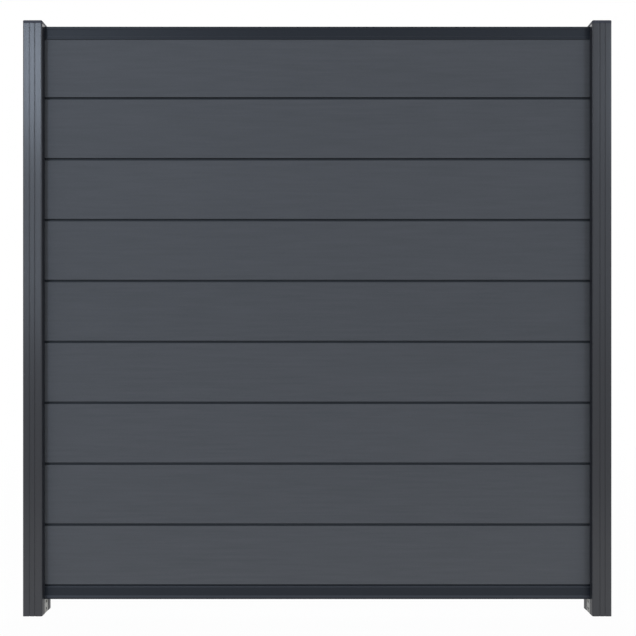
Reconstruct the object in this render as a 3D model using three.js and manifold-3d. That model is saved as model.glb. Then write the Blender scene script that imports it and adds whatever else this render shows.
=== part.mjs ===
// Garden privacy screen: hollow wood-plastic boards stacked in the slots of two aluminium posts.
// Millimetres, +Z up. The front faces -Y, and the origin is on the ground, midway between the posts.
import * as THREE from 'three';
import { mergeVertices } from 'three/addons/utils/BufferGeometryUtils.js';
import Module from 'manifold-3d';

const wasm = await Module();
wasm.setup();

// The bay.
const bayWidth = 1698; // clear width between the posts
const groundGap = 45; // from the ground to the bottom rail
const boardCount = 9;

// Play between pieces.
const fit = 0.3; // between pieces that touch
const railSlack = 0.4; // between a rail's lips and the slot walls
const tongueSlack = 0.5; // between a tongue's side and its groove
const boardEndGap = 6; // room for boards and rails to lengthen in the heat, at each end
const capHeadroom = 0.5; // from the top rail to the end of the post

// Boards: extruded wood-plastic, a tongue along the top and a groove along the bottom.
const boardFace = 182.5; // height of one board's face
const boardThickness = 19;
const boardWall = 4; // skins and ribs around the chambers
const boardEdge = 1; // chamfer along the face's edges
const chamberCount = 5;
const chamberRadius = 1.8;
const shadowGap = 7.5; // open joint between two faces, with the tongue set back in it
const tongueWidth = 8;
const tongueGrip = 10; // how far a tongue reaches into the groove above it
const tongueEdge = 1.2; // chamfer along the tongue's tip

// Rails: extruded aluminium.
const railWall = 1.8;
const bottomRailHeight = 38; // without its tongue
const bottomRailEdge = 1.6; // chamfer along its shoulders
const bottomLipHeight = 5; // upright part of the wider lip at its foot
const bottomLipSlope = 6; // height of the slope above it, which sheds water
const topRailHeight = 39.5;
const topRailCover = 3; // how far it reaches down over the top board
const topRailBand = 9; // height of the raised bands along its upper and lower edges
const topRailStep = 0.6; // how far the middle of its sides is set back between the bands
const topRailEdge = 1;

// Posts: extruded aluminium, an H of two hollow flanges and a hollow web.
const postSize = 60;
const postWall = 2;
const postCorner = 4; // radius of the outer corners
const slotDepth = 21;
const slotWall = 2.6; // flange wall beside a slot, which carries the seal groove
const slotEdge = 0.5; // chamfer along the slot's mouth
const cellRadius = 1.2; // inner corners of the hollow cells
const fluteWidth = 4; // the flutes run down both faces, over the webs
const fluteFloor = 2.4; // width at their bottom
const fluteDepth = 1.2;

// Seals: rubber strips rooted in a groove near the mouth of each slot.
const sealInset = 3; // from the slot's mouth to the groove
const sealGroove = 3; // width of the groove
const sealGrooveDepth = 0.9;
const sealHead = 5.4; // width of the cushion that bears on the boards

// Cover strips for the slots that hold no boards.
const stripWall = 1.8;
const stripLeg = 11; // length of the legs that grip the slot walls
const stripEdge = 0.6;

// Caps: moulded lids with pegs that plug into the flange cells.
const capHeight = 10;
const capWall = 3;
const capRoof = 2.5;
const capEdge = 2; // chamfer around the top
const pegLength = 14;
const pegSlack = 0.5;
const pegTaper = 1.5;

// Rail supports: moulded blocks screwed to the slot floors, under the ends of the bottom rail.
const supportRecess = 0.6; // how far a support stays behind the slot's mouth
const supportRadius = 1.5;
const supportWall = 1.6; // around the two pockets that lighten it
const screwRadius = 1.95;
const screwLength = 16; // under the head
const screwHeadRadius = 3.9;
const screwHeadHeight = 2.6;
const screwSocket = 1.6; // radius of the hexagon socket
const counterboreDepth = 12;

// Facets of round shapes, and the length by which a bore breaks through a surface.
const roundSides = 20;
const cushionSides = 8;
const breakthrough = 1;

// Sizes and places that follow from those above.
const boardHalf = boardThickness / 2;
const tongueHalf = tongueWidth / 2;
const grooveHalf = tongueHalf + tongueSlack;
const grooveDepth = tongueGrip + fit;
const tongueRise = shadowGap + tongueGrip; // from a face's upper edge to the tongue's tip
const boardPitch = boardFace + shadowGap;
const lipHalf = boardHalf + fit + railWall; // half the width over a rail's lips
const slotHalf = lipHalf + railSlack;
const postHalf = postSize / 2;
const slotFloor = postHalf - slotDepth; // from the post's middle
const webMiddle = slotFloor - postWall / 2;
const flangeInside = slotHalf + slotWall;
const boardGrip = slotDepth - boardEndGap; // how far boards and rails reach into a slot
const panelLength = bayWidth + 2 * boardGrip;
const postCentre = (bayWidth + postSize) / 2;
const firstBoardZ = groundGap + bottomRailHeight + shadowGap;
const lastFaceTop = firstBoardZ + boardCount * boardPitch - shadowGap;
const topRailZ = lastFaceTop - topRailCover;
const postLength = topRailZ + topRailHeight + capHeadroom;
const sealMiddle = postHalf - sealInset - sealGroove / 2; // from the post's middle
const supportHeight = groundGap - fit;
const supportFace = postHalf - supportRecess;
const headSeat = supportFace - counterboreDepth; // where a screw's head bears

const finishes = {
  post: new THREE.MeshStandardMaterial({ color: 0x4a4d53, roughness: 0.38, metalness: 0.55 }),
  rail: new THREE.MeshStandardMaterial({ color: 0x2e333a, roughness: 0.5, metalness: 0.45 }),
  board: new THREE.MeshStandardMaterial({ color: 0x4b5056, roughness: 0.8, metalness: 0 }),
  cap: new THREE.MeshStandardMaterial({ color: 0x3c3e45, roughness: 0.5, metalness: 0 }),
  seal: new THREE.MeshStandardMaterial({ color: 0x141517, roughness: 0.85, metalness: 0 }),
  support: new THREE.MeshStandardMaterial({ color: 0xa3a19b, roughness: 0.6, metalness: 0 }),
  screw: new THREE.MeshStandardMaterial({ color: 0x9a9da1, roughness: 0.35, metalness: 1 }),
};

// Outlines are lists of [x, y] points.
const mirrored = (half) => [...half, ...half.map(([x, y]) => [-x, y]).reverse()];
const fourfold = (quarter) => mirrored([...quarter.map(([x, y]) => [x, -y]).reverse(), ...quarter]);

function arc(x, y, radius, startTurn, sweepTurn = 0.25, steps = 3) {
  return Array.from({ length: steps + 1 }, (_, i) => {
    const angle = 2 * Math.PI * (startTurn + (sweepTurn * i) / steps);
    return [x + radius * Math.cos(angle), y + radius * Math.sin(angle)];
  });
}

function roundedBox(left, right, low, high, radius) {
  return [
    ...arc(right - radius, high - radius, radius, 0),
    ...arc(left + radius, high - radius, radius, 0.25),
    ...arc(left + radius, low + radius, radius, 0.5),
    ...arc(right - radius, low + radius, radius, 0.75),
  ];
}

function extrude(outline, holes, length) {
  const points = (list) => list.map(([x, y]) => new THREE.Vector2(x, y));
  const shape = new THREE.Shape(points(outline));
  shape.holes = holes.map((hole) => new THREE.Path(points(hole)));
  return new THREE.ExtrudeGeometry(shape, { depth: length, bevelEnabled: false });
}

// A closed body through level outlines of equal point counts, from the lowest to the highest.
function loft(levels) {
  const count = levels[0].outline.length;
  const positions = levels.flatMap(({ z, outline }) => outline.flatMap(([x, y]) => [x, y, z]));
  const flat = levels[0].outline.map(([x, y]) => new THREE.Vector2(x, y));
  const cap = THREE.ShapeUtils.triangulateShape(flat, []);
  const top = (levels.length - 1) * count;
  const faces = cap.flatMap(([a, b, c]) => [c, b, a, a + top, b + top, c + top]);
  for (let ring = 0; ring < top; ring += count) {
    for (let i = 0; i < count; i += 1) {
      const here = ring + i;
      const next = ring + ((i + 1) % count);
      faces.push(here, next, next + count, here, next + count, here + count);
    }
  }
  const geometry = new THREE.BufferGeometry();
  geometry.setAttribute('position', new THREE.Float32BufferAttribute(positions, 3));
  geometry.setIndex(faces);
  return geometry;
}

// A round bar along X, from one x to another.
function barAlongX(from, to, radius, z) {
  return new THREE.CylinderGeometry(radius, radius, to - from, roundSides)
    .rotateZ(Math.PI / 2)
    .translate((from + to) / 2, 0, z);
}

function toSolid(geometry) {
  const bare = geometry.clone();
  bare.deleteAttribute('normal');
  bare.deleteAttribute('uv');
  const merged = mergeVertices(bare, 1e-4);
  return new wasm.Manifold(new wasm.Mesh({
    numProp: 3,
    vertProperties: merged.attributes.position.array,
    triVerts: new Uint32Array(merged.index.array),
  }));
}

function toGeometry(solid) {
  const { vertProperties, triVerts } = solid.getMesh();
  const geometry = new THREE.BufferGeometry();
  geometry.setAttribute('position', new THREE.BufferAttribute(vertProperties, 3));
  geometry.setIndex(new THREE.BufferAttribute(triVerts, 1));
  geometry.computeVertexNormals();
  return geometry;
}

function join(first, ...rest) {
  return toGeometry(rest.reduce((whole, one) => whole.add(toSolid(one)), toSolid(first)));
}

function cut(body, cutters) {
  return toGeometry(cutters.reduce((rest, cutter) => rest.subtract(toSolid(cutter)), toSolid(body)));
}

// Heights of the two screws in a rail support.
const screwHeights = { lower: supportHeight / 4, upper: (supportHeight * 3) / 4 };

// A post's section: slots left and right with a seal groove in each wall, flutes front and back,
// three cells in each flange and one in the web between the slots.
function postGeometry() {
  const grooveStart = sealMiddle - sealGroove / 2;
  const grooveEnd = sealMiddle + sealGroove / 2;
  const quarter = [
    [slotFloor, slotHalf],
    [grooveStart, slotHalf],
    [grooveStart, slotHalf + sealGrooveDepth],
    [grooveEnd, slotHalf + sealGrooveDepth],
    [grooveEnd, slotHalf],
    [postHalf - slotEdge, slotHalf],
    [postHalf, slotHalf + slotEdge],
    ...arc(postHalf - postCorner, postHalf - postCorner, postCorner, 0, 0.25, 5),
    [webMiddle + fluteWidth / 2, postHalf],
    [webMiddle + fluteFloor / 2, postHalf - fluteDepth],
    [webMiddle - fluteFloor / 2, postHalf - fluteDepth],
    [webMiddle - fluteWidth / 2, postHalf],
  ];
  const webIn = webMiddle - postWall / 2;
  const webOut = webMiddle + postWall / 2;
  const inside = postHalf - postWall;
  const flangeCells = [-1, 1].flatMap((side) => {
    const [low, high] = side < 0 ? [-inside, -flangeInside] : [flangeInside, inside];
    return [
      roundedBox(-inside, -webOut, low, high, cellRadius),
      roundedBox(-webIn, webIn, low, high, cellRadius),
      roundedBox(webOut, inside, low, high, cellRadius),
    ];
  });
  const webCell = roundedBox(-webIn, webIn, -slotHalf, slotHalf, cellRadius);
  const post = extrude(fourfold(quarter), [...flangeCells, webCell], postLength);
  const boreEnd = slotFloor + breakthrough;
  const pilots = Object.values(screwHeights).map((z) => barAlongX(0, boreEnd, screwRadius + fit, z));
  return cut(post, pilots);
}

// A cap: a hollow lid with chamfered edges, and four tapered pegs, one for each outer flange cell.
function capGeometry() {
  const square = (half, radius) => roundedBox(-half, half, -half, half, radius);
  const lid = loft([
    { z: fit, outline: square(postHalf, postCorner) },
    { z: capHeight - capEdge, outline: square(postHalf, postCorner) },
    { z: capHeight, outline: square(postHalf - capEdge, postCorner) },
  ]);
  const hollow = extrude(square(postHalf - capWall, postCorner), [], capHeight - capRoof);
  const near = webMiddle + postWall / 2 + pegSlack;
  const far = postHalf - postWall - pegSlack;
  const inner = flangeInside + pegSlack;
  const peg = ([x, y]) => {
    const outline = (inset) => {
      const xs = [x * (near + inset), x * (far - inset)].sort((a, b) => a - b);
      const ys = [y * (inner + inset), y * (far - inset)].sort((a, b) => a - b);
      return roundedBox(...xs, ...ys, cellRadius);
    };
    return loft([
      { z: -pegLength, outline: outline(pegTaper) },
      { z: -pegLength + 2 * pegTaper, outline: outline(0) },
      { z: capHeight - capRoof / 2, outline: outline(0) },
    ]);
  };
  const pegs = [[1, 1], [-1, 1], [-1, -1], [1, -1]].map(peg);
  return join(cut(lid, [hollow]), ...pegs);
}

// A cover strip: a flush face and two legs, whose barbs click into the slot's seal grooves.
function coverStripGeometry() {
  const side = slotHalf - fit;
  const back = postHalf - stripWall;
  const tip = postHalf - stripLeg;
  const barbStart = sealMiddle - sealGroove / 2 + fit;
  const barbEnd = sealMiddle + sealGroove / 2 - fit;
  const half = [
    [side - stripWall, back],
    [side - stripWall, tip],
    [side - stripEdge, tip],
    [side, tip + stripEdge],
    [side, barbStart],
    [side + sealGrooveDepth, barbEnd],
    [side, barbEnd],
    [side, postHalf - stripEdge],
    [side - stripEdge, postHalf],
  ];
  return extrude(mirrored(half).map(([y, x]) => [-x, y]), [], postLength);
}

// A seal: a root in the groove of the slot wall, and a rounded cushion towards the boards.
function sealGeometry(side, length) {
  const root = sealGroove / 2 - fit;
  const seat = slotHalf - fit;
  const rise = seat - boardHalf - fit;
  const cushion = arc(0, 0, 1, 0, 0.5, cushionSides).map(([x, y]) => [(x * sealHead) / 2, seat - y * rise]);
  const outline = [
    [-root, seat],
    [-root, seat + sealGrooveDepth],
    [root, seat + sealGrooveDepth],
    [root, seat],
    ...cushion,
  ];
  return extrude(outline.map(([x, y]) => [sealMiddle + x, side * y]), [], length);
}

// A rail support: a block with two pockets from end to end and two counterbored screw holes.
function supportGeometry() {
  const back = slotFloor + fit;
  const side = slotHalf - fit;
  const bossHalf = screwHeadRadius + fit + supportWall;
  const pocket = (y) => {
    const [low, high] = [y * bossHalf, y * (side - supportWall)].sort((a, b) => a - b);
    return roundedBox(back + supportWall, supportFace - supportWall, low, high, supportRadius / 2);
  };
  const block = extrude(
    roundedBox(back, supportFace, -side, side, supportRadius),
    [pocket(-1), pocket(1)],
    supportHeight,
  );
  const holes = Object.values(screwHeights).flatMap((z) => [
    barAlongX(back - breakthrough, supportFace, screwRadius + fit, z),
    barAlongX(headSeat, supportFace + breakthrough, screwHeadRadius + fit, z),
  ]);
  return cut(block, holes);
}

// A screw along -X, with its head's seat at x = 0: pointed shank, domed head, hexagon socket.
function screwGeometry() {
  const dome = arc(0, 0, 1, 0, 0.25, 4).map(([x, y]) => [x * screwHeadRadius, y * screwHeadHeight]);
  const profile = [
    [0, -screwLength],
    [screwRadius, 2 * screwRadius - screwLength],
    [screwRadius, 0],
    ...dome.slice(0, -1),
    [0, screwHeadHeight],
  ];
  const body = new THREE.LatheGeometry(profile.map(([x, y]) => new THREE.Vector2(x, y)), roundSides);
  const socket = new THREE.CylinderGeometry(screwSocket, screwSocket, screwHeadHeight, 6);
  return cut(body, [socket.translate(0, screwHeadHeight, 0)]).rotateZ(-Math.PI / 2);
}

// A board's section, with z from the lower edge of its face: chambers between skins and ribs.
function boardGeometry() {
  const tip = boardFace + tongueRise;
  const half = [
    [grooveHalf, grooveDepth],
    [grooveHalf, 0],
    [boardHalf - boardEdge, 0],
    [boardHalf, boardEdge],
    [boardHalf, boardFace - boardEdge],
    [boardHalf - boardEdge, boardFace],
    [tongueHalf, boardFace],
    [tongueHalf, tip - tongueEdge],
    [tongueHalf - tongueEdge, tip],
  ];
  const inside = boardHalf - boardWall;
  const chamberFloor = grooveDepth + boardWall;
  const chamberPitch = (boardFace - chamberFloor) / chamberCount;
  const chambers = Array.from({ length: chamberCount }, (_, i) => {
    const low = chamberFloor + i * chamberPitch;
    return roundedBox(-inside, inside, low, low + chamberPitch - boardWall, chamberRadius);
  });
  return extrude(mirrored(half), chambers, panelLength);
}

// The bottom rail: a hollow box with a wider lip at its foot and a tongue for the lowest board.
function bottomRailGeometry() {
  const tip = bottomRailHeight + tongueRise;
  const half = [
    [lipHalf, 0],
    [lipHalf, bottomLipHeight],
    [boardHalf, bottomLipHeight + bottomLipSlope],
    [boardHalf, bottomRailHeight - bottomRailEdge],
    [boardHalf - bottomRailEdge, bottomRailHeight],
    [tongueHalf, bottomRailHeight],
    [tongueHalf, tip - tongueEdge],
    [tongueHalf - tongueEdge, tip],
  ];
  const hollow = [
    [boardHalf - railWall, railWall],
    [boardHalf - railWall, bottomRailHeight - railWall],
    [tongueHalf - railWall, bottomRailHeight - railWall],
    [tongueHalf - railWall, tip - railWall],
  ];
  return extrude(mirrored(half), [mirrored(hollow)], panelLength);
}

// The top rail: a channel that straddles the top board, its shelf over the tongue's tip, and a
// closed chamber above. Its sides are set back between two raised bands.
function topRailGeometry() {
  const inside = lipHalf - railWall;
  const shelf = topRailCover + tongueRise + fit;
  const half = [
    [inside, shelf],
    [inside, 0],
    [lipHalf, 0],
    [lipHalf, topRailBand],
    [lipHalf - topRailStep, topRailBand + topRailStep],
    [lipHalf - topRailStep, topRailHeight - topRailBand - topRailStep],
    [lipHalf, topRailHeight - topRailBand],
    [lipHalf, topRailHeight - topRailEdge],
    [lipHalf - topRailEdge, topRailHeight],
  ];
  const hollow = [
    [inside, shelf + railWall],
    [inside, topRailHeight - railWall],
  ];
  return extrude(mirrored(half), [mirrored(hollow)], panelLength);
}

function piece(name, geometry, finish) {
  const mesh = new THREE.Mesh(geometry, finish);
  mesh.name = name;
  return mesh;
}

// A piece extruded along its own Z, laid along the bay at a height with its section upright.
function laidAcross(name, geometry, finish, z) {
  const mesh = piece(name, geometry, finish);
  mesh.rotation.set(Math.PI / 2, Math.PI / 2, 0);
  mesh.position.set(-panelLength / 2, 0, z);
  return mesh;
}

// One end of the bay, drawn with the panel towards +X: the right end is the left one turned about.
function bayEnd(name) {
  const turned = name === 'right';
  const end = new THREE.Group();
  end.add(piece(`${name}_post`, postGeometry(), finishes.post));
  end.add(piece(`${name}_cover_strip`, coverStripGeometry(), finishes.post));

  const cap = piece(`${name}_post_cap`, capGeometry(), finishes.cap);
  cap.position.z = postLength;
  end.add(cap);

  const sealStart = groundGap + bottomLipHeight + bottomLipSlope + fit;
  const sealLength = topRailZ - fit - sealStart;
  for (const face of ['front', 'back']) {
    const side = (face === 'front') === turned ? 1 : -1;
    const seal = piece(`${name}_${face}_seal`, sealGeometry(side, sealLength), finishes.seal);
    seal.position.z = sealStart;
    end.add(seal);
  }

  end.add(piece(`${name}_rail_support`, supportGeometry(), finishes.support));
  for (const [height, z] of Object.entries(screwHeights)) {
    const screw = piece(`${name}_support_screw_${height}`, screwGeometry(), finishes.screw);
    screw.position.set(headSeat + fit, 0, z);
    end.add(screw);
  }

  end.position.x = turned ? postCentre : -postCentre;
  end.rotation.z = turned ? Math.PI : 0;
  return end;
}

const screen = new THREE.Group();
screen.add(bayEnd('left'), bayEnd('right'));
screen.add(laidAcross('bottom_rail', bottomRailGeometry(), finishes.rail, groundGap));
for (let i = 0; i < boardCount; i += 1) {
  const z = firstBoardZ + i * boardPitch;
  screen.add(laidAcross(`board_${i + 1}`, boardGeometry(), finishes.board, z));
}
screen.add(laidAcross('top_rail', topRailGeometry(), finishes.rail, topRailZ));

export default screen;
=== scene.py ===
import math

import bpy
import numpy as np
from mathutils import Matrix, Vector
from mathutils.geometry import delaunay_2d_cdt


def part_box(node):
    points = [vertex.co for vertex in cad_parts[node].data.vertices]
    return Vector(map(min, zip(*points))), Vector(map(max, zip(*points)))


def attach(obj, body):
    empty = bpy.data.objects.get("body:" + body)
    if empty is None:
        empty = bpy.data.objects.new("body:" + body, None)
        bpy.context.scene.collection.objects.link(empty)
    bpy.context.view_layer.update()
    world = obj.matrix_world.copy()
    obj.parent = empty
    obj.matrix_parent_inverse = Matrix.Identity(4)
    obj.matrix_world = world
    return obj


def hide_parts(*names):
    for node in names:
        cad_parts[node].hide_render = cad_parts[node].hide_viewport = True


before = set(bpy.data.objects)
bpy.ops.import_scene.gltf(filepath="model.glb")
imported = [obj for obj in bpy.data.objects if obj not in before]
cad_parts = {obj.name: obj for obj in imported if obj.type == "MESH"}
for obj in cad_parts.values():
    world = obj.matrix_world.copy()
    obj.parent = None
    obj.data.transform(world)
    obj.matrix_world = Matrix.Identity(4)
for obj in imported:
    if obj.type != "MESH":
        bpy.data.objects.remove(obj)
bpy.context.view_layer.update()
print("frame loaded,", len(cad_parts), "nodes")

mm = 0.001
body = "root"
boardCount = sum(name.startswith("board_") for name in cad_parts)
sharpAngle = 35  # degrees: edges that bend more stay sharp in the shading
breakthrough = 1 * mm  # how far a drill runs past the surfaces that it opens


# Camera: upright and square to the screen, so the posts stay parallel; a small shift lifts the view.
cameraView = {
    "place": (0.0, -1.780, 0.837),
    "lens": 32.12,
    "sensor": 36.0,
    "shift": (0.0012, 0.0425),
}


def makeCamera(settings):
    data = bpy.data.cameras.new("camera")
    data.lens = settings["lens"]
    data.sensor_width = settings["sensor"]
    data.shift_x, data.shift_y = settings["shift"]
    camera = bpy.data.objects.new("camera", data)
    camera.location = settings["place"]
    camera.rotation_euler = (math.pi / 2, 0, 0)
    bpy.context.scene.collection.objects.link(camera)
    bpy.context.scene.camera = camera


makeCamera(cameraView)
print("camera placed")


# Shapes.

def roundCorners(corners, radius, steps=3, closed=True):
    # Each corner gives way to an arc that touches both edges at radius / tan(half the angle), about a
    # centre on the bisector at radius / sin(half the angle); its points turn evenly between the two.
    # An open path keeps its two ends as they are.
    corners = np.asarray(corners, float)
    radius = np.broadcast_to(np.asarray(radius, float), len(corners))
    toLast = np.roll(corners, 1, axis=0) - corners
    toNext = np.roll(corners, -1, axis=0) - corners
    toLast /= np.linalg.norm(toLast, axis=1, keepdims=True)
    toNext /= np.linalg.norm(toNext, axis=1, keepdims=True)
    half = np.arccos(np.clip((toLast * toNext).sum(axis=1), -1, 1)) / 2
    bisector = toLast + toNext
    bisector /= np.linalg.norm(bisector, axis=1, keepdims=True)
    centre = corners + bisector * (radius / np.sin(half))[:, None]
    reach = (radius / np.tan(half))[:, None]
    first = corners + toLast * reach - centre
    last = corners + toNext * reach - centre
    start = np.arctan2(first[:, 1], first[:, 0])
    sweep = np.arctan2(last[:, 1], last[:, 0]) - start
    sweep = (sweep + np.pi) % (2 * np.pi) - np.pi
    angle = start[:, None] + sweep[:, None] * np.linspace(0, 1, steps + 1)
    turn = np.stack([np.cos(angle), np.sin(angle)], axis=-1)
    points = centre[:, None] + radius[:, None, None] * turn
    if closed:
        return points.reshape(-1, 2)
    return np.concatenate([corners[:1], points[1:-1].reshape(-1, 2), corners[-1:]])


def mirrored(half):
    # The other half is the same outline backwards, with the first coordinate negated.
    half = np.asarray(half, float)
    return np.concatenate([half, half[::-1] * (-1, 1)])


def fourfold(quarter):
    # The quarter's copy with the second coordinate negated comes first, and both are mirrored.
    quarter = np.asarray(quarter, float)
    return mirrored(np.concatenate([quarter[::-1] * (1, -1), quarter]))


def rectangle(low, high):
    # Four corners between the low and the high one, counter-clockwise.
    return np.array([(high[0], low[1]), high, (low[0], high[1]), low], float)


def signedArea(points):
    # Half the sum of the cross products of each point with the next: positive if counter-clockwise.
    following = np.roll(points, -1, axis=0)
    return 0.5 * (points[:, 0] * following[:, 1] - points[:, 1] * following[:, 0]).sum()


def makePiece(name, points, faces, material, smoothBelow=sharpAngle):
    # Shading is smooth only across edges that bend by less than the given angle.
    mesh = bpy.data.meshes.new(name)
    mesh.from_pydata(points.tolist(), [], [face.tolist() for face in faces])
    mesh.materials.append(material)
    mesh.shade_smooth()
    mesh.set_sharp_from_angle(angle=math.radians(smoothBelow))
    piece = bpy.data.objects.new(name, mesh)
    bpy.context.scene.collection.objects.link(piece)
    return piece


def fillLoops(loops, upward=True):
    # Delaunay triangles that keep the loops' edges. A triangle belongs to the section if a line from
    # its middle to the right crosses the loops an odd number of times, and all turn to the same side.
    flat = np.concatenate(loops)
    following = np.concatenate([np.roll(loop, -1, axis=0) for loop in loops])
    firsts = np.cumsum([0] + [len(loop) for loop in loops])
    edges = [(first + i, first + (i + 1) % len(loop)) for first, loop in zip(firsts, loops)
             for i in range(len(loop))]
    centre = flat.mean(axis=0)
    filled = delaunay_2d_cdt([Vector(point) for point in flat - centre], edges, [], 0, 1e-9)
    origin = np.array([sources[0] for sources in filled[3]])
    triangles = origin[np.array(filled[2])]
    corners = flat[triangles]
    x, y = (corners.mean(axis=1)[:, axis, None] for axis in (0, 1))
    spans = (flat[:, 1] > y) != (following[:, 1] > y)
    rise = np.where(following[:, 1] == flat[:, 1], 1, following[:, 1] - flat[:, 1])
    crossing = flat[:, 0] + (y - flat[:, 1]) * (following[:, 0] - flat[:, 0]) / rise
    inside = (spans & (crossing > x)).sum(axis=1) % 2 == 1
    triangles, corners = triangles[inside], corners[inside]
    first, second = corners[:, 1] - corners[:, 0], corners[:, 2] - corners[:, 0]
    wrong = (first[:, 0] * second[:, 1] - first[:, 1] * second[:, 0] > 0) != upward
    triangles[wrong] = triangles[wrong][:, ::-1]
    return triangles


def carrySection(outline, holes, stations, place):
    # A section carried along its path: every loop is repeated at each station, and place turns the
    # section's two coordinates and the distance along the path into a point in space.
    loops = [outline if signedArea(outline) > 0 else outline[::-1]]
    loops += [hole if signedArea(hole) < 0 else hole[::-1] for hole in holes]
    flat = np.concatenate(loops)
    stations = np.asarray(stations, float)
    across, along = np.broadcast_arrays(flat[None, :, :], stations[:, None, None])
    points = place(across[..., 0], across[..., 1], along[..., 0]).reshape(-1, 3)
    faces = []
    first = 0
    for loop in loops:
        here = first + np.arange(len(loop))
        following = first + (np.arange(len(loop)) + 1) % len(loop)
        rings = np.arange(len(stations) - 1)[:, None] * len(flat)
        quads = np.stack([here + rings, following + rings,
                          following + rings + len(flat), here + rings + len(flat)], axis=-1)
        faces += list(quads.reshape(-1, 4))
        first += len(loop)
    faces += list(fillLoops(loops, upward=False))
    faces += list(fillLoops(loops) + (len(stations) - 1) * len(flat))
    return points, faces


def upright(x=0.0, y=0.0):
    # The section lies flat at (x, y), and its path climbs along Z.
    return lambda a, b, s: np.stack([x + a, y + b, s], axis=-1)


def stackRings(rings, heights):
    # A closed skin through level rings of equal counts, its first and last ring filled.
    count = len(rings[0])
    points = np.concatenate([np.column_stack([ring, np.full(count, z)])
                             for ring, z in zip(rings, heights)])
    here = np.arange(count)
    following = (here + 1) % count
    starts = np.arange(len(rings) - 1)[:, None] * count
    quads = np.stack([here + starts, following + starts,
                      following + starts + count, here + starts + count], axis=-1)
    faces = list(quads.reshape(-1, 4))
    faces += list(fillLoops([rings[0]], upward=False))
    faces += list(fillLoops([rings[-1]]) + (len(rings) - 1) * count)
    return points, faces


def applyModifiers(piece):
    graph = bpy.context.evaluated_depsgraph_get()
    mesh = bpy.data.meshes.new_from_object(piece.evaluated_get(graph))
    old = piece.data
    piece.modifiers.clear()
    piece.data = mesh
    bpy.data.meshes.remove(old)
    piece.data.name = piece.name


def combine(piece, other, operation):
    # Cuts another closed piece out of this one, or joins it on, and the other goes.
    cutter = piece.modifiers.new("cut", "BOOLEAN")
    cutter.operation = operation
    cutter.solver = "EXACT"
    cutter.object = other
    bpy.context.view_layer.update()
    applyModifiers(piece)
    bpy.data.objects.remove(other)
    piece.data.shade_smooth()
    piece.data.set_sharp_from_angle(angle=math.radians(sharpAngle))


def barAlongX(fromX, toX, radius, y, z, material, sides=24):
    # A round bar: x runs between its ends, y and z turn about its axis.
    angle = np.linspace(0, 2 * np.pi, sides, endpoint=False)
    ring = np.column_stack([np.cos(angle), np.sin(angle)]) * radius
    points, faces = carrySection(ring, [], (fromX, toX),
                                 lambda a, b, s: np.stack([s, y + a, z + b], axis=-1))
    return makePiece("bar", points, faces, material)


def finishPiece(piece, slot, *nodes):
    weighted = piece.modifiers.new("even shading", "WEIGHTED_NORMAL")
    weighted.keep_sharp = True
    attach(piece, body)
    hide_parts(*nodes)


# Materials.

def linear(hexColour):
    # Each sRGB channel c becomes c / 12.92 up to 0.04045, and ((c + 0.055) / 1.055) ^ 2.4 above.
    channels = [int(hexColour[i:i + 2], 16) / 255 for i in (0, 2, 4)]
    return tuple(c / 12.92 if c <= 0.04045 else ((c + 0.055) / 1.055) ** 2.4 for c in channels) + (1.0,)


def addNode(tree, kind, settings=None, **links):
    # Settings are the node's own properties. A link's name is the input's, with _ for a space, or in
    # and its number; its value is another node's output, or a plain value.
    node = tree.nodes.new(kind)
    for name, value in (settings or {}).items():
        setattr(node, name, value)
    for name, value in links.items():
        key = int(name[2:]) if name[:2] == "in" and name[2:].isdigit() else name.replace("_", " ")
        if isinstance(value, bpy.types.NodeSocket):
            tree.links.new(value, node.inputs[key])
        else:
            node.inputs[key].default_value = value
    return node


def newMaterial(name):
    material = bpy.data.materials.new(name)
    material.use_nodes = True
    tree = material.node_tree
    shader = tree.nodes["Principled BSDF"]
    place = addNode(tree, "ShaderNodeTexCoord").outputs["Object"]
    return material, tree, shader, place


def grainNoise(tree, place, period, detail=2.0, roughness=0.5):
    # Noise whose features are as long along each axis as the period says, in metres.
    scaled = addNode(tree, "ShaderNodeMapping", Vector=place, Scale=tuple(1 / p for p in period))
    return addNode(tree, "ShaderNodeTexNoise", Vector=scaled.outputs[0], Scale=1.0,
                   Detail=detail, Roughness=roughness).outputs["Fac"]


def spread(tree, value, low, high):
    # Maps a noise's usual range, 0.3 to 0.7, onto low to high.
    ranged = addNode(tree, "ShaderNodeMapRange", in0=value, in1=0.3, in2=0.7, in3=low, in4=high)
    return ranged.outputs[0]


def addUp(tree, first, *rest):
    for value in rest:
        first = addNode(tree, "ShaderNodeMath", {"operation": "ADD"}, in0=first, in1=value).outputs[0]
    return first


# Extruded wood-plastic composite, brushed lengthwise: matt, nearly even anthracite with faint
# streaks along the board and pale and dark specks of wood flour.
boardFinish = {
    "dark": "3d4043",
    "light": "525357",
    "shadedSkin": "2b2f34",  # left unbrushed in the joints: darker and a little shinier, and painted darker still as painted shade in the joints
    "shadedSkinEdge": (8.5 * mm, 9.1 * mm),  # distance from the board's middle where the brushing starts and the painted joint shade ends
    "brushLine": (60 * mm, 1.1 * mm, 1.1 * mm),
    "streak": (160 * mm, 9 * mm, 9 * mm),  # wider than real brush lines, so that it shows in the render
    "speck": (3.5 * mm, 0.7 * mm, 0.7 * mm),
    "cloud": (700 * mm, 60 * mm, 60 * mm),
    "lineTone": (0.4, 0.6),  # 0 is the dark colour and 1 the light one; the rest is added to it
    "streakTone": (-0.11, 0.11),
    "speckTone": (-0.1, 0.1),
    "cloudTone": (-0.04, 0.04),
    "batchTone": (-0.03, 0.03),  # from one board to the next
    "roughness": (0.66, 0.8),
    "specular": 0.3,
    "brushDepth": 0.08 * mm,
}


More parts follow.
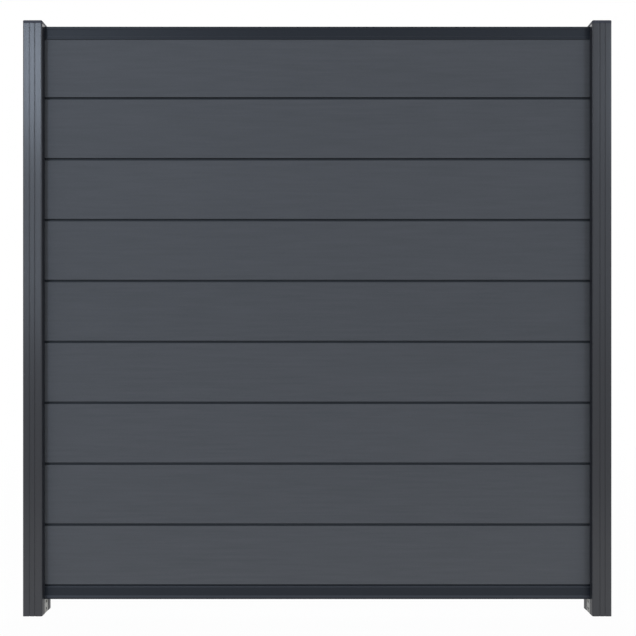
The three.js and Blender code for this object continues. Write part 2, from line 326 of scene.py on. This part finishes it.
def brushedWoodPlastic(finish, firstZ, pitch):
    material, tree, shader, place = newMaterial("brushedWoodPlastic")
    line = grainNoise(tree, place, finish["brushLine"], 3.0)
    streak = grainNoise(tree, place, finish["streak"], 3.0)
    speck = grainNoise(tree, place, finish["speck"])
    cloud = grainNoise(tree, place, finish["cloud"])
    axes = addNode(tree, "ShaderNodeSeparateXYZ", Vector=place).outputs
    height = axes["Z"]
    row = addNode(tree, "ShaderNodeMath", {"operation": "SUBTRACT"}, in0=height, in1=firstZ).outputs[0]
    row = addNode(tree, "ShaderNodeMath", {"operation": "DIVIDE"}, in0=row, in1=pitch).outputs[0]
    row = addNode(tree, "ShaderNodeMath", {"operation": "FLOOR"}, in0=row).outputs[0]
    batch = addNode(tree, "ShaderNodeTexWhiteNoise", {"noise_dimensions": "1D"}, W=row).outputs["Value"]
    darkest, lightest = finish["batchTone"]
    batch = addNode(tree, "ShaderNodeMapRange", in0=batch, in3=darkest, in4=lightest).outputs[0]
    tone = addUp(tree, spread(tree, line, *finish["lineTone"]),
                 spread(tree, streak, *finish["streakTone"]),
                 spread(tree, speck, *finish["speckTone"]),
                 spread(tree, cloud, *finish["cloudTone"]), batch)
    colour = addNode(tree, "ShaderNodeMix", {"data_type": "RGBA"}, in0=tone,
                     in6=linear(finish["dark"]), in7=linear(finish["light"])).outputs[2]
    # Painted shade: nearer the board's middle than the brushing, in the joints, the colour turns to the
    # darker skin colour. This is partly the unbrushed skin and partly painted shade in the joints.
    depth = addNode(tree, "ShaderNodeMath", {"operation": "ABSOLUTE"}, in0=axes["Y"]).outputs[0]
    near, far = finish["shadedSkinEdge"]
    brushedUnshaded = addNode(tree, "ShaderNodeMapRange", in0=depth, in1=near, in2=far).outputs[0]
    colour = addNode(tree, "ShaderNodeMix", {"data_type": "RGBA"}, in0=brushedUnshaded,
                     in6=linear(finish["shadedSkin"]), in7=colour).outputs[2]
    tree.links.new(colour, shader.inputs["Base Color"])
    tree.links.new(spread(tree, line, *finish["roughness"]), shader.inputs["Roughness"])
    shader.inputs["Specular IOR Level"].default_value = finish["specular"]
    relief = addUp(tree, line, spread(tree, speck, 0, 0.4))
    bump = addNode(tree, "ShaderNodeBump", Height=relief, Distance=finish["brushDepth"], Strength=0.8)
    tree.links.new(bump.outputs[0], shader.inputs["Normal"])
    return material


# Powder-coated aluminium, fine satin anthracite: a hard coat with a slight orange peel, over the long
# faint lines that the extrusion die leaves.
coatFinishes = {
    "post": {"colour": "2a2b2f", "roughness": (0.28, 0.34), "specular": 0.35,
             "line": (0.9 * mm, 0.9 * mm, 900 * mm)},
    "rail": {"colour": "1b2027", "roughness": (0.45, 0.55), "specular": 0.18,
             "line": (900 * mm, 0.9 * mm, 0.9 * mm)},
}
orangePeel = {"size": 0.7 * mm, "depth": 0.012 * mm}
dieLineShade = (0.93, 1.07)  # how much darker and lighter the die's lines make the coat
upFacingHighlight = {"colour": "43464c", "steepness": (0.05, 0.6)}  # painted highlight: slopes that face up are painted lighter, as if lit from above


def powderCoat(name, finish):
    material, tree, shader, place = newMaterial(name)
    peel = grainNoise(tree, place, (orangePeel["size"],) * 3)
    line = grainNoise(tree, place, finish["line"], 3.0)
    shade = addNode(tree, "ShaderNodeMix", {"data_type": "RGBA", "blend_type": "MULTIPLY"}, in0=1.0,
                    in6=linear(finish["colour"]))
    grey = spread(tree, line, *dieLineShade)
    tree.links.new(addNode(tree, "ShaderNodeCombineColor", Red=grey, Green=grey, Blue=grey).outputs[0],
                   shade.inputs[7])
    # Painted highlight: the more a surface faces up, the more it takes the lighter colour, as if lit
    # from above.
    facing = addNode(tree, "ShaderNodeNewGeometry").outputs["Normal"]
    rise = addNode(tree, "ShaderNodeSeparateXYZ", Vector=facing).outputs["Z"]
    low, high = upFacingHighlight["steepness"]
    paintedHighlight = addNode(tree, "ShaderNodeMapRange", in0=rise, in1=low, in2=high).outputs[0]
    shade = addNode(tree, "ShaderNodeMix", {"data_type": "RGBA"}, in0=paintedHighlight,
                    in6=shade.outputs[2], in7=linear(upFacingHighlight["colour"]))
    tree.links.new(shade.outputs[2], shader.inputs["Base Color"])
    tree.links.new(spread(tree, line, *finish["roughness"]), shader.inputs["Roughness"])
    shader.inputs["Specular IOR Level"].default_value = finish["specular"]
    relief = addUp(tree, peel, line)
    bump = addNode(tree, "ShaderNodeBump", Height=relief, Distance=orangePeel["depth"], Strength=1.0)
    tree.links.new(bump.outputs[0], shader.inputs["Normal"])
    return material


# Plain materials: a colour that varies a little, a roughness, and the size and depth of the surface's
# own relief. Their names say what each is and how it was made.
plainCloud = {"size": 25 * mm, "shade": (0.92, 1.08)}
plainFinishes = {
    # ASA, moulded: an even, slightly glossy skin with a fine spark-eroded texture
    "mouldedAsa": {"colour": "34353d", "roughness": (0.5, 0.6), "specular": 0.2,
                   "relief": 0.5 * mm, "depth": 0.02 * mm},
    # EPDM rubber, extruded: deep matt black
    "extrudedRubber": {"colour": "17181a", "roughness": (0.75, 0.85), "specular": 0.3,
                       "relief": 0.6 * mm, "depth": 0.02 * mm},
    # polypropylene, moulded, light grey: waxy, with faint flow marks
    "mouldedPolypropylene": {"colour": "a3a19b", "roughness": (0.45, 0.6), "specular": 0.4,
                             "relief": 4 * mm, "depth": 0.05 * mm},
}


def plainMaterial(name, finish):
    material, tree, shader, place = newMaterial(name)
    relief = grainNoise(tree, place, (finish["relief"],) * 3, 3.0)
    cloud = grainNoise(tree, place, (plainCloud["size"],) * 3)
    grey = spread(tree, cloud, *plainCloud["shade"])
    tint = addNode(tree, "ShaderNodeCombineColor", Red=grey, Green=grey, Blue=grey).outputs[0]
    shade = addNode(tree, "ShaderNodeMix", {"data_type": "RGBA", "blend_type": "MULTIPLY"}, in0=1.0,
                    in6=linear(finish["colour"]), in7=tint)
    tree.links.new(shade.outputs[2], shader.inputs["Base Color"])
    tree.links.new(spread(tree, relief, *finish["roughness"]), shader.inputs["Roughness"])
    shader.inputs["Specular IOR Level"].default_value = finish["specular"]
    bump = addNode(tree, "ShaderNodeBump", Height=relief, Distance=finish["depth"], Strength=1.0)
    tree.links.new(bump.outputs[0], shader.inputs["Normal"])
    return material


# Steel screw, zinc plated: bright bluish metal, a little cloudy.
zincFinish = {"dark": "9ea3a8", "light": "c4c9ce", "cloud": 2 * mm, "roughness": (0.25, 0.4)}


def zincPlatedSteel(finish):
    material, tree, shader, place = newMaterial("zincPlatedSteel")
    shader.inputs["Metallic"].default_value = 1.0
    cloud = grainNoise(tree, place, (finish["cloud"],) * 3, 3.0)
    colour = addNode(tree, "ShaderNodeMix", {"data_type": "RGBA"}, in0=cloud,
                     in6=linear(finish["dark"]), in7=linear(finish["light"])).outputs[2]
    tree.links.new(colour, shader.inputs["Base Color"])
    tree.links.new(spread(tree, cloud, *finish["roughness"]), shader.inputs["Roughness"])
    return material


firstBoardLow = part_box("board_1")[0].z
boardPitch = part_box("board_2")[0].z - firstBoardLow
boardMaterial = brushedWoodPlastic(boardFinish, firstBoardLow, boardPitch)
postMaterial = powderCoat("satinPowderCoat", coatFinishes["post"])
railMaterial = powderCoat("darkPowderCoat", coatFinishes["rail"])
capMaterial, sealMaterial, supportMaterial = (plainMaterial(*item) for item in plainFinishes.items())
screwMaterial = zincPlatedSteel(zincFinish)
print("materials made")


# Boards: tongue above, groove below, five chambers, small radii along every edge.
boardSection = {
    "thickness": 19 * mm,
    "face": 182.5 * mm,
    "edge": 1.0 * mm,
    "tongue": 8 * mm,
    "tongueRise": 17.5 * mm,
    "tongueEdge": 1.2 * mm,
    "tongueFoot": 0.8 * mm,
    "groove": 9 * mm,
    "grooveDepth": 10.3 * mm,
    "grooveEdge": 0.6 * mm,
    "wall": 4 * mm,
    "chambers": 5,
    "chamberRadius": 1.8 * mm,
    "arcSteps": 4,
    "bow": 0.25 * mm,  # how far a board sways out of plane, at most
    "bowWaves": 2.3,  # half waves of it along a board
    "bowShift": 1.7,  # from one board to the next, in radians
    "stations": 33,
}


def makeBoard(number, size):
    low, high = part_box(f"board_{number}")
    half, face = size["thickness"] / 2, size["face"]
    tongue, groove = size["tongue"] / 2, size["groove"] / 2
    tip = face + size["tongueRise"]
    corners = [
        (groove, size["grooveDepth"]),
        (groove, 0),
        (half, 0),
        (half, face),
        (tongue, face),
        (tongue, tip),
    ]
    radii = [size["grooveEdge"], size["grooveEdge"], size["edge"], size["edge"],
             size["tongueFoot"], size["tongueEdge"]]
    outline = roundCorners(mirrored(corners), radii + radii[::-1], size["arcSteps"])
    inside = half - size["wall"]
    floor = size["grooveDepth"] + size["wall"]
    chamberPitch = (face - floor) / size["chambers"]
    chambers = [
        roundCorners(rectangle((-inside, floor + i * chamberPitch),
                               (inside, floor + (i + 1) * chamberPitch - size["wall"])),
                     size["chamberRadius"], size["arcSteps"])
        for i in range(size["chambers"])
    ]
    length = high.x - low.x
    phase = size["bowShift"] * number

    def place(a, b, s):
        # The whole section sways out of plane by a slow sine along the board, times a half sine that
        # keeps both ends still.
        share = (s - low.x) / length
        sway = size["bow"] * np.sin(np.pi * share) * np.sin(size["bowWaves"] * np.pi * share + phase)
        return np.stack([s, a + sway, low.z + b], axis=-1)

    stations = np.linspace(low.x, high.x, size["stations"])
    points, faces = carrySection(outline, chambers, stations, place)
    board = makePiece(f"board{number}", points, faces, boardMaterial)
    finishPiece(board, "board", f"board_{number}")


for number in range(1, boardCount + 1):
    makeBoard(number, boardSection)
print("boards made")


# Rails: the same wall all round, sharp extruded edges broken by a small radius.
bottomRailSection = {
    "lip": 23.2 * mm,
    "lipHeight": 5 * mm,
    "lipSlope": 6 * mm,
    "body": 19 * mm,
    "height": 38 * mm,
    "shoulder": 1.6 * mm,
    "tongue": 8 * mm,
    "tongueRise": 17.5 * mm,
    "wall": 1.8 * mm,
    "edge": 0.5 * mm,
}
topRailSection = {
    "width": 23.2 * mm,
    "height": 39.5 * mm,
    "wall": 1.8 * mm,
    "shelf": 20.8 * mm,
    "band": 9 * mm,
    "step": 0.6 * mm,
    "edge": 1.0 * mm,
    "insideEdge": 0.5 * mm,
    "lipInside": 0.3 * mm,
    "lipOutside": 0.5 * mm,
    "bandEdge": 0.25 * mm,
}


def makeRail(name, node, outline, hollow):
    low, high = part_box(node)
    points, faces = carrySection(outline, [hollow], (low.x, high.x),
                                 lambda a, b, s: np.stack([s, a, low.z + b], axis=-1))
    finishPiece(makePiece(name, points, faces, railMaterial), "rail", node)


def makeBottomRail(size):
    lip, half, tongue, wall = size["lip"] / 2, size["body"] / 2, size["tongue"] / 2, size["wall"]
    tip = size["height"] + size["tongueRise"]
    corners = [
        (lip, 0),
        (lip, size["lipHeight"]),
        (half, size["lipHeight"] + size["lipSlope"]),
        (half, size["height"] - size["shoulder"]),
        (half - size["shoulder"], size["height"]),
        (tongue, size["height"]),
        (tongue, tip),
    ]
    edge = size["edge"]
    radii = [edge, edge, edge, edge, edge, edge, 2 * edge]
    hollow = [
        (half - wall, wall),
        (half - wall, size["height"] - wall),
        (tongue - wall, size["height"] - wall),
        (tongue - wall, tip - wall),
    ]
    makeRail("bottomRail", "bottom_rail", roundCorners(mirrored(corners), radii + radii[::-1]),
             roundCorners(mirrored(hollow), edge))


def makeTopRail(size):
    half, wall, step, band = size["width"] / 2, size["wall"], size["step"], size["band"]
    inside, height = half - wall, size["height"]
    corners = [
        (inside, size["shelf"]),
        (inside, 0),
        (half, 0),
        (half, band),
        (half - step, band + step),
        (half - step, height - band - step),
        (half, height - band),
        (half, height),
    ]
    radii = [size["insideEdge"], size["lipInside"], size["lipOutside"]]
    radii += [size["bandEdge"]] * 4 + [size["edge"]]
    hollow = [(inside, size["shelf"] + wall), (inside, height - wall)]
    makeRail("topRail", "top_rail", roundCorners(mirrored(corners), radii + radii[::-1]),
             roundCorners(mirrored(hollow), size["insideEdge"]))


makeBottomRail(bottomRailSection)
makeTopRail(topRailSection)
print("rails made")


# Posts: an H with a slot on each side, a seal groove in each slot wall and flutes front and back.
postSection = {
    "wall": 2 * mm,
    "corner": 4 * mm,
    "slotDepth": 21 * mm,
    "slotWidth": 24 * mm,
    "slotWall": 2.6 * mm,
    "slotFoot": 0.8 * mm,
    "slotEdge": 0.5 * mm,
    "sealInset": 3 * mm,
    "sealGroove": 3 * mm,
    "sealDepth": 0.9 * mm,
    "fluteWidth": 4 * mm,
    "fluteFloor": 2.4 * mm,
    "fluteDepth": 1.2 * mm,
    "fluteEdge": 0.5 * mm,
    "fine": 0.2 * mm,  # the die's own radius in the seal grooves and flutes
    "arcSteps": 5,
    "cellRadius": 1.2 * mm,
    "screwHole": 2.25 * mm,
}


def makePost(side, size):
    low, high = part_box(f"{side}_post")
    half = (high.y - low.y) / 2
    floor = half - size["slotDepth"]
    web = floor - size["wall"] / 2
    slot, wall = size["slotWidth"] / 2, size["wall"]
    grooveOut = half - size["sealInset"]
    grooveIn = grooveOut - size["sealGroove"]
    flute, bed = size["fluteWidth"] / 2, size["fluteFloor"] / 2
    corners = [
        (floor, slot),
        (grooveIn, slot),
        (grooveIn, slot + size["sealDepth"]),
        (grooveOut, slot + size["sealDepth"]),
        (grooveOut, slot),
        (half, slot),
        (half, half),
        (web + flute, half),
        (web + bed, half - size["fluteDepth"]),
        (web - bed, half - size["fluteDepth"]),
        (web - flute, half),
    ]
    fine, fluteEdge = size["fine"], size["fluteEdge"]
    radii = [size["slotFoot"], fine, fine, fine, fine, size["slotEdge"], size["corner"],
             fluteEdge, fine, fine, fluteEdge]
    right = radii[::-1] + radii
    outline = roundCorners(fourfold(corners), right + right[::-1], size["arcSteps"])
    inside, flange = half - wall, slot + size["slotWall"]
    webIn, webOut = web - wall / 2, web + wall / 2
    cells = [rectangle((-webIn, -slot), (webIn, slot))]
    for near, far in ((-inside, -flange), (flange, inside)):
        cells += [
            rectangle((-inside, near), (-webOut, far)),
            rectangle((-webIn, near), (webIn, far)),
            rectangle((webOut, near), (inside, far)),
        ]
    cells = [roundCorners(cell, size["cellRadius"]) for cell in cells]
    middle = (low.x + high.x) / 2
    points, faces = carrySection(outline, cells, (low.z, high.z), upright(middle))
    post = makePiece(f"{side}Post", points, faces, postMaterial)
    inward = -math.copysign(1, middle)
    ends = sorted((middle, middle + inward * (floor + breakthrough)))
    for rise in ("lower", "upper"):
        screwLow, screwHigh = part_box(f"{side}_support_screw_{rise}")
        height = (screwLow.z + screwHigh.z) / 2
        combine(post, barAlongX(*ends, size["screwHole"], 0, height, postMaterial), "DIFFERENCE")
    finishPiece(post, "post", f"{side}_post")


# Cover strips: a flush face with two legs, whose barbs sit in the seal grooves.
stripSection = {
    "wall": 1.8 * mm,
    "barb": 0.9 * mm,
    "edge": 0.5 * mm,
    "legRoot": 0.6 * mm,
    "legInside": 0.4 * mm,
    "legOutside": 0.6 * mm,
    "fine": 0.15 * mm,
    "play": 0.3 * mm,
}


def makeCoverStrip(side, size):
    low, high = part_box(f"{side}_cover_strip")
    outward = math.copysign(1, low.x)
    depth = high.x - low.x
    half = (high.y - low.y) / 2 - size["barb"]
    inset, groove = postSection["sealInset"], postSection["sealGroove"]
    corners = [
        (half - size["wall"], depth - size["wall"]),
        (half - size["wall"], 0),
        (half, 0),
        (half, depth - inset - groove + size["play"]),
        (half + size["barb"], depth - inset - size["play"]),
        (half, depth - inset - size["play"]),
        (half, depth),
    ]
    radii = [size["legRoot"], size["legInside"], size["legOutside"]]
    radii += [size["fine"]] * 3 + [size["edge"]]
    outline = roundCorners(mirrored(corners), radii + radii[::-1])
    start = low.x if outward > 0 else high.x
    section = np.column_stack([start + outward * outline[:, 1], outline[:, 0]])
    points, faces = carrySection(section, [], (low.z, high.z), upright())
    strip = makePiece(f"{side}CoverStrip", points, faces, postMaterial)
    finishPiece(strip, "post", f"{side}_cover_strip")


# Seals: a root held in the slot wall and a cushion that bears on the boards.
sealSection = {
    "root": 2.4 * mm,
    "rootDepth": 0.9 * mm,
    "head": 5.4 * mm,
    "rise": 1.9 * mm,
    "cushionPoints": 17,
}


def makeSeal(side, face, size):
    low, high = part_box(f"{side}_{face}_seal")
    outward = -1 if face == "front" else 1
    root, head = size["root"] / 2, size["head"] / 2
    # The cushion is half an ellipse, as wide as the head and as high as the rise.
    angle = np.linspace(0, np.pi, size["cushionPoints"])
    cushion = np.column_stack([head * np.cos(angle), -size["rise"] * np.sin(angle)])
    top = size["rootDepth"]
    outline = np.concatenate([[(-root, 0), (-root, top), (root, top), (root, 0)], cushion])
    seat = (low.y if outward < 0 else high.y) - outward * top
    section = np.column_stack([(low.x + high.x) / 2 + outline[:, 0], seat + outward * outline[:, 1]])
    points, faces = carrySection(section, [], (low.z, high.z), upright())
    name = f"{side}{face.capitalize()}Seal"
    finishPiece(makePiece(name, points, faces, sealMaterial), "seal", f"{side}_{face}_seal")


# Caps: a hollow lid with rounded edges and four tapered pegs.
capShape = {
    "wall": 3 * mm,
    "roof": 2.5 * mm,
    "corner": 4 * mm,
    "edge": 2 * mm,
    "leastCorner": 0.8 * mm,
    "arcSteps": 5,
    "peg": (18.0 * mm, 12.4 * mm),
    "pegMiddle": (18.5 * mm, 21.3 * mm),
    "pegRadius": 1.2 * mm,
    "pegTaper": 1.5 * mm,
    "play": 0.3 * mm,
    "rounding": 0.4 * mm,
    "flat": 1 * mm,  # width of the level ring around the roof's two faces
}


def makeCap(side, size):
    low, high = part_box(f"{side}_post_cap")
    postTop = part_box(f"{side}_post")[1].z
    half = (high.x - low.x) / 2
    middle = (low.x + high.x) / 2
    # A path of inset and height, from the roof's underside down the wall, over the rim and up to the
    # top, carried around a rounded square: each ring is the square drawn in by the inset.
    path = [
        (size["wall"] + size["flat"], high.z - size["roof"]),
        (size["wall"], high.z - size["roof"]),
        (size["wall"], postTop + size["play"]),
        (0, postTop + size["play"]),
        (0, high.z - size["edge"]),
        (size["edge"], high.z),
        (size["edge"] + size["flat"], high.z),
    ]
    path = roundCorners(path, size["rounding"], 3, closed=False)
    rings = []
    for inset, z in path:
        reach = half - inset
        square = rectangle((-reach, -reach), (reach, reach))
        corner = max(size["corner"] - inset, size["leastCorner"])
        rings.append(roundCorners(square, corner, size["arcSteps"]) + (middle, 0))
    points, faces = stackRings(rings, path[:, 1])
    cap = makePiece(f"{side}PostCap", points, faces, capMaterial)
    wide, deep = size["peg"]
    for x, y in ((1, 1), (-1, 1), (-1, -1), (1, -1)):
        levels = [(size["pegTaper"], low.z), (0, low.z + 2 * size["pegTaper"]),
                  (0, high.z - size["roof"] / 2)]
        rings = []
        for inset, z in levels:
            reach = np.array([wide / 2 - inset, deep / 2 - inset])
            centre = (middle + x * size["pegMiddle"][0], y * size["pegMiddle"][1])
            rings.append(roundCorners(rectangle(-reach, reach), size["pegRadius"]) + centre)
        points, faces = stackRings(rings, [z for inset, z in levels])
        combine(cap, makePiece("peg", points, faces, capMaterial), "UNION")
    finishPiece(cap, "cap", f"{side}_post_cap")


# Rail supports: blocks with two pockets and counterbored screw holes.
supportShape = {
    "radius": 1.5 * mm,
    "arcSteps": 5,
    "wall": 1.6 * mm,
    "pocketFrom": 5.8 * mm,  # from the middle, which leaves a boss for the screws
    "hole": 2.25 * mm,
    "counterbore": 4.2 * mm,
    "boreDepth": 12 * mm,
}


def makeSupport(side, size):
    low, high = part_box(f"{side}_rail_support")
    outline = rectangle((low.x, low.y), (high.x, high.y))
    outline = roundCorners(outline, size["radius"], size["arcSteps"])
    wall = size["wall"]
    pockets = []
    for near, far in ((low.y + wall, -size["pocketFrom"]), (size["pocketFrom"], high.y - wall)):
        pocket = rectangle((low.x + wall, near), (high.x - wall, far))
        pockets.append(roundCorners(pocket, size["radius"] / 2))
    points, faces = carrySection(outline, pockets, (low.z, high.z), upright())
    support = makePiece(f"{side}RailSupport", points, faces, supportMaterial)
    mouth, back = (high.x, low.x) if low.x < 0 else (low.x, high.x)
    inward = math.copysign(1, mouth - back)
    for rise in ("lower", "upper"):
        screwLow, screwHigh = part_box(f"{side}_support_screw_{rise}")
        height = (screwLow.z + screwHigh.z) / 2
        outside = mouth + inward * breakthrough
        bores = {"hole": back - inward * breakthrough,
                 "counterbore": mouth - inward * size["boreDepth"]}
        for bore, end in bores.items():
            drill = barAlongX(*sorted((end, outside)), size[bore], 0, height, supportMaterial)
            combine(support, drill, "DIFFERENCE")
    finishPiece(support, "support", f"{side}_rail_support")


# Screws: a rolled thread, a domed head and a hexagon socket.
screwShape = {
    "core": 1.45 * mm,
    "thread": 0.5 * mm,
    "pitch": 1.4 * mm,
    "ridge": 3.2,  # how steep the thread's sides are: its foot is 2 / 3.2 of the pitch
    "point": 4 * mm,
    "tip": 0.02,  # the share of the radius that is left at the very point
    "length": 16 * mm,
    "head": 3.9 * mm,
    "headHeight": 2.6 * mm,
    "rim": 1.15,  # the dome ends at this many socket radii
    "socket": 1.6 * mm,
    "socketDepth": 1.3 * mm,
    "socketSink": 0.98,  # the socket's mouth lies at this share of the head's height
    "sides": 24,
    "shankRings": 90,
    "domeRings": 7,
    "smoothBelow": 40,
}


def makeScrew(side, rise, size):
    low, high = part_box(f"{side}_support_screw_{rise}")
    inward = 1 if low.x < 0 else -1
    seat = (low.x if inward > 0 else high.x) + inward * size["length"]
    height = (low.z + high.z) / 2
    sides = size["sides"]
    angle = np.linspace(0, 2 * np.pi, sides, endpoint=False)
    # Shank: the radius is the core's plus a ridge that follows angle plus distance over the pitch, and
    # both shrink evenly to nothing along the point.
    along = np.linspace(-size["length"], 0, size["shankRings"])
    taper = np.clip((along + size["length"]) / size["point"], size["tip"], 1)
    phase = (along[:, None] / size["pitch"] + angle / (2 * np.pi)) % 1
    ridge = np.clip(1 - size["ridge"] * np.abs(phase - 0.5), 0, 1)
    shank = (size["core"] + size["thread"] * ridge) * taper[:, None]
    # Head: a flat underside, a quarter ellipse, then the socket, whose ring is a hexagon: its radius
    # is the width across the flats over twice the cosine of the angle from the nearest flat.
    dome = np.linspace(0, np.pi / 2, size["domeRings"])
    flat = (angle + np.pi / 6) % (np.pi / 3) - np.pi / 6
    hexagon = size["socket"] * math.cos(math.pi / 6) / np.cos(flat)
    reaches = size["head"] * np.cos(dome)
    headRadii = [np.full(sides, reach) for reach in reaches if reach > size["socket"] * size["rim"]]
    headAlong = [size["headHeight"] * math.sin(d) for d in dome[:len(headRadii)]]
    socketAlong = [size["headHeight"] * size["socketSink"], size["headHeight"] - size["socketDepth"]]
    radii = np.vstack([shank, headRadii, hexagon, hexagon])
    places = np.concatenate([along, headAlong, socketAlong])
    x = np.broadcast_to((seat + inward * places)[:, None], radii.shape)
    points = np.stack([x, radii * np.cos(angle), height + radii * np.sin(angle)], axis=-1)
    here = np.arange(sides)
    following = (here + 1) % sides
    starts = np.arange(len(radii) - 1)[:, None] * sides
    quads = np.stack([here + starts, following + starts,
                      following + starts + sides, here + starts + sides], axis=-1)
    ends = [here[::-1], here + (len(radii) - 1) * sides]
    faces = list(quads.reshape(-1, 4)) + ends
    if inward < 0:
        faces = [face[::-1] for face in faces]
    name = f"{side}SupportScrew{rise.capitalize()}"
    screw = makePiece(name, points.reshape(-1, 3), faces, screwMaterial, size["smoothBelow"])
    finishPiece(screw, "screw", f"{side}_support_screw_{rise}")


for side in ("left", "right"):
    makePost(side, postSection)
    makeCoverStrip(side, stripSection)
    makeCap(side, capShape)
    makeSupport(side, supportShape)
    for face in ("front", "back"):
        makeSeal(side, face, sealSection)
    for rise in ("lower", "upper"):
        makeScrew(side, rise, screwShape)
print("posts and their fittings made")


# Studio: a pale floor that runs out into a white background, and soft lamps at a plain level.
studio = {
    "floorReach": 9.0,
    "floorColour": "eceeef",
    "paleness": 0.97,  # how white the camera sees the floor beside the object
    "whitening": (1.2, 4.0),  # distances from the middle where the floor starts and ends turning white
    "worldColour": (1.0, 1.0, 1.0, 1.0),
    "worldLevel": 0.5,
    # Each lamp: its place, what it aims at, its width and height, and its power in watts.
    "lamps": {
        "leftSpot": ((-2.5, -3.4, 3.35), (-0.88, 0.0, 1.75), (0.7, 1.2), 54),
        "leftPanel": ((-2.6, -3.4, 1.55), (-0.88, 0.0, 1.1), (1.0, 1.2), 15),
        "rightSpot": ((3.9, -3.3, 3.6), (0.9, 0.0, 1.6), (1.4, 1.4), 54),
        "rightPanel": ((2.6, -3.4, 1.55), (0.88, 0.0, 1.1), (1.0, 1.2), 3.3),
        "floorGlow": ((0.0, -0.52, 0.002), (0.0, -0.52, 2.0), (3.4, 1.0), 4.6),
        "back": ((0.6, 3.6, 3.0), (0.0, 0.0, 1.0), (3.6, 2.4), 80),
    },
    "daylight": (0.70, 0.82, 1.0),  # the colour of the spots and panels, bluer than the rest
}


def whiteShare(tree, most):
    # How much plain white a ray finds: the given share for the camera and for reflections, and none
    # for the light that falls on the object.
    path = addNode(tree, "ShaderNodeLightPath").outputs
    seen = path["Is Camera Ray"]
    for kind in ("Is Glossy Ray", "Is Transmission Ray"):
        seen = addNode(tree, "ShaderNodeMath", {"operation": "MAXIMUM"},
                       in0=seen, in1=path[kind]).outputs[0]
    return addNode(tree, "ShaderNodeMath", {"operation": "MULTIPLY"}, in0=seen, in1=most).outputs[0]


def makeFloor(settings):
    reach = settings["floorReach"]
    corners = np.array([(-reach, -reach, 0), (reach, -reach, 0), (reach, reach, 0), (-reach, reach, 0)])
    material = bpy.data.materials.new("paleFloor")
    material.use_nodes = True
    tree = material.node_tree
    tree.nodes.clear()
    # The share of white grows evenly with the distance, from the paleness to all of it.
    near, far = settings["whitening"]
    place = addNode(tree, "ShaderNodeTexCoord").outputs["Object"]
    away = addNode(tree, "ShaderNodeVectorMath", {"operation": "LENGTH"}, in0=place).outputs["Value"]
    most = addNode(tree, "ShaderNodeMapRange", in0=away, in1=near, in2=far,
                   in3=settings["paleness"], in4=1.0).outputs[0]
    matt = addNode(tree, "ShaderNodeBsdfDiffuse", Color=linear(settings["floorColour"])).outputs[0]
    white = addNode(tree, "ShaderNodeEmission", Color=(1, 1, 1, 1), Strength=1.0).outputs[0]
    mixed = addNode(tree, "ShaderNodeMixShader", in0=whiteShare(tree, most), in1=matt, in2=white)
    addNode(tree, "ShaderNodeOutputMaterial", Surface=mixed.outputs[0])
    mesh = bpy.data.meshes.new("floor")
    mesh.from_pydata(corners.tolist(), [], [(0, 1, 2, 3)])
    mesh.materials.append(material)
    floor = bpy.data.objects.new("floor", mesh)
    bpy.context.scene.collection.objects.link(floor)


def makeWorld(settings):
    world = bpy.data.worlds.new("studio")
    world.use_nodes = True
    tree = world.node_tree
    tree.nodes.clear()
    soft = addNode(tree, "ShaderNodeBackground", Color=settings["worldColour"],
                   Strength=settings["worldLevel"])
    white = addNode(tree, "ShaderNodeBackground", Color=(1, 1, 1, 1), Strength=1.0)
    mixed = addNode(tree, "ShaderNodeMixShader", in0=whiteShare(tree, 1.0),
                    in1=soft.outputs[0], in2=white.outputs[0])
    addNode(tree, "ShaderNodeOutputWorld", Surface=mixed.outputs[0])
    bpy.context.scene.world = world


def makeLamp(name, place, target, size, power):
    data = bpy.data.lights.new(name, "AREA")
    data.shape = "RECTANGLE"
    data.size, data.size_y = size
    data.energy = power
    if name.endswith(("Spot", "Panel")):
        data.color = studio["daylight"]
    lamp = bpy.data.objects.new(name, data)
    lamp.visible_camera = False
    lamp.location = place
    lamp.rotation_euler = (Vector(target) - Vector(place)).to_track_quat("-Z", "Y").to_euler()
    bpy.context.scene.collection.objects.link(lamp)


makeFloor(studio)
makeWorld(studio)
for name, settings in studio["lamps"].items():
    makeLamp(name, *settings)
bpy.context.scene.view_settings.view_transform = "Standard"
print("studio lit")
